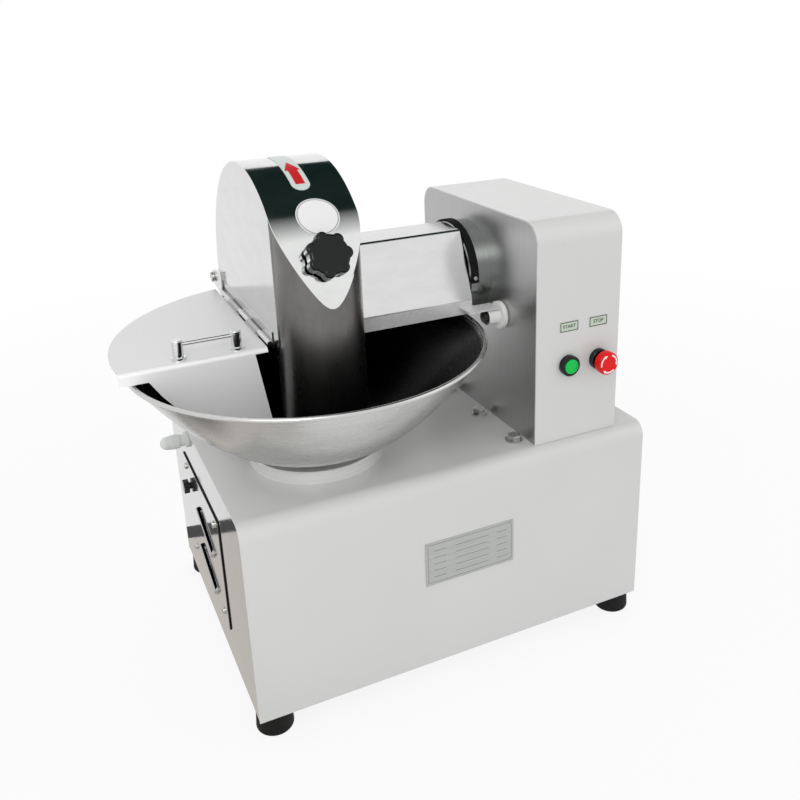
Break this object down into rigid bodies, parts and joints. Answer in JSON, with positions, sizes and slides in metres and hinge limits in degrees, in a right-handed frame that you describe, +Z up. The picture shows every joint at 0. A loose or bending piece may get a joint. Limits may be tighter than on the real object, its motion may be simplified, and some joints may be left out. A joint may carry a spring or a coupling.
{
  "type": "meat bowl cutter",
  "caption": "Tabletop bowl cutter: a turning bowl carries meat under a hood past curved knives driven by belt from a motor in the cabinet.",
  "frame": {"origin": "centre of the bounding box at floor level, on the resting face of the feet", "axes": "+Z up, +X along the cabinet's length towards the column, +Y away from the operator, who stands at -Y"},
  "size_m": [0.6795, 0.5275, 0.6985],
  "materials": {
    "painted_grey": "light grey satin paint",
    "galvanised": "galvanised sheet",
    "polished_steel": "mirror-polished stainless sheet",
    "brushed_plate": "brushed stainless plate",
    "brushed_steel": "satin brushed stainless",
    "plated_steel": "zinc-plated steel",
    "ground_steel": "ground stainless",
    "bearing_steel": "ground bearing steel",
    "knife_steel": "ground blade steel",
    "cast_aluminium": "turned cast aluminium",
    "cast_grey": "grey enamelled casting",
    "bronze": "cut bronze",
    "black_rubber": "matt black rubber",
    "black_plastic": "glossy black moulding",
    "green_plastic": "green moulding",
    "red_plastic": "red moulding",
    "white_nylon": "white nylon",
    "grey_nylon": "pale grey nylon",
    "label_plate": "blank anodised plate"
  },
  "bodies": {
    "machine": {"base_shell": "painted_grey", "base_floor": "galvanised", "left_side_plate": "polished_steel", "right_side_plate": "brushed_plate", "side_cover": "polished_steel", "pan_screws": "plated_steel", "cable_gland": "grey_nylon", "feet": "black_rubber", "foot_bolts": "plated_steel", "bowl_collar": "cast_aluminium", "column_shell": "painted_grey", "column_left_plate": "brushed_plate", "column_right_plate": "brushed_plate", "bearing_housing": "polished_steel", "housing_seal": "black_rubber", "frame_bolts": "plated_steel", "rest_pin": "white_nylon", "start_bezel": "black_plastic", "stop_collar": "black_plastic", "button_plates": "label_plate", "name_plate": "label_plate", "knife_bearings": "bearing_steel", "hinge_bracket": "brushed_plate", "cover_hinge_pin": "plated_steel", "motor_body": "cast_grey", "gearbox_housing": "cast_grey", "gearbox_cover": "cast_grey", "gearbox_bearings": "bearing_steel", "knife_belt": "black_rubber", "worm_belt": "black_rubber"},
    "side_knob": {"side_knob": "black_plastic"},
    "start_button": {"start_button": "green_plastic"},
    "stop_stem": {"stop_stem": "black_plastic"},
    "stop_button": {"stop_button": "red_plastic"},
    "rotor": {"motor_rotor": "plated_steel", "motor_pulley": "cast_aluminium"},
    "worm": {"worm_shaft": "ground_steel", "worm_pulley": "cast_aluminium"},
    "bowl": {"spindle": "ground_steel", "worm_wheel": "bronze", "bowl_hub": "cast_aluminium", "bowl": "brushed_steel", "bowl_nut": "brushed_plate"},
    "knife": {"knife_shaft": "ground_steel", "shaft_pulley": "cast_aluminium", "knives": "knife_steel", "knife_spacers": "ground_steel", "knife_nut": "ground_steel"},
    "cover": {"hood_left_wall": "polished_steel", "hood_right_wall": "polished_steel", "hood_band": "polished_steel", "front_guard": "brushed_steel", "arm_cover": "polished_steel", "lid_hinge_leaf": "polished_steel", "hood_plates": "label_plate"},
    "hood_knob": {"hood_knob": "black_plastic"},
    "lid": {"lid": "brushed_steel", "lid_handle": "ground_steel"}
  },
  "joints": [
    {"name": "side_knob_turn", "type": "hinge", "parent": "machine", "child": "side_knob", "pos_m": [-0.24, 0.143, 0.209], "axis": [-1, 0, 0], "range_deg": [0, 90]},
    {"name": "start_press", "type": "slide", "parent": "machine", "child": "start_button", "axis": [0, 1, 0], "range_m": [0, 0.004], "stiffness_N_per_m": 500, "springref_m": -0.003},
    {"name": "stop_press", "type": "slide", "parent": "machine", "child": "stop_stem", "axis": [0, 1, 0], "range_m": [0, 0.005], "stiffness_N_per_m": 500, "springref_m": -0.003},
    {"name": "stop_twist", "type": "hinge", "parent": "stop_stem", "child": "stop_button", "pos_m": [0.268, -0.18, 0.418], "axis": [0, 1, 0], "range_deg": [0, 45], "stiffness_Nm_per_rad": 0.05, "springref_deg": -5.73},
    {"name": "motor_spin", "type": "hinge", "parent": "machine", "child": "rotor", "pos_m": [0.08, 0.144, 0.121], "axis": [1, 0, 0], "continuous": true},
    {"name": "knife_spin", "type": "hinge", "parent": "machine", "child": "knife", "pos_m": [-0.098, 0.024, 0.518], "axis": [1, 0, 0], "continuous": true},
    {"name": "worm_spin", "type": "hinge", "parent": "machine", "child": "worm", "pos_m": [-0.095, 0.022, 0.116], "axis": [1, 0, 0], "continuous": true},
    {"name": "bowl_spin", "type": "hinge", "parent": "machine", "child": "bowl", "pos_m": [-0.095, -0.032, 0.116], "axis": [0, 0, 1], "continuous": true},
    {"name": "cover_tilt", "type": "hinge", "parent": "machine", "child": "cover", "pos_m": [-0.098, 0.226, 0.5], "axis": [-1, 0, 0], "range_deg": [0, 75]},
    {"name": "hood_knob_turn", "type": "hinge", "parent": "cover", "child": "hood_knob", "pos_m": [-0.098, -0.13434, 0.60361], "axis": [0, -0.8796, 0.4756], "range_deg": [0, 180]},
    {"name": "lid_tilt", "type": "hinge", "parent": "cover", "child": "lid", "pos_m": [-0.1565, 0.05, 0.4907], "axis": [0, 1, 0], "range_deg": [0, 55]}
  ],
  "couplings": [
    {"joint": "knife_spin", "follows": "motor_spin", "ratio": 1},
    {"joint": "worm_spin", "follows": "motor_spin", "ratio": 0.5},
    {"joint": "bowl_spin", "follows": "motor_spin", "ratio": 0.0125}
  ]
}
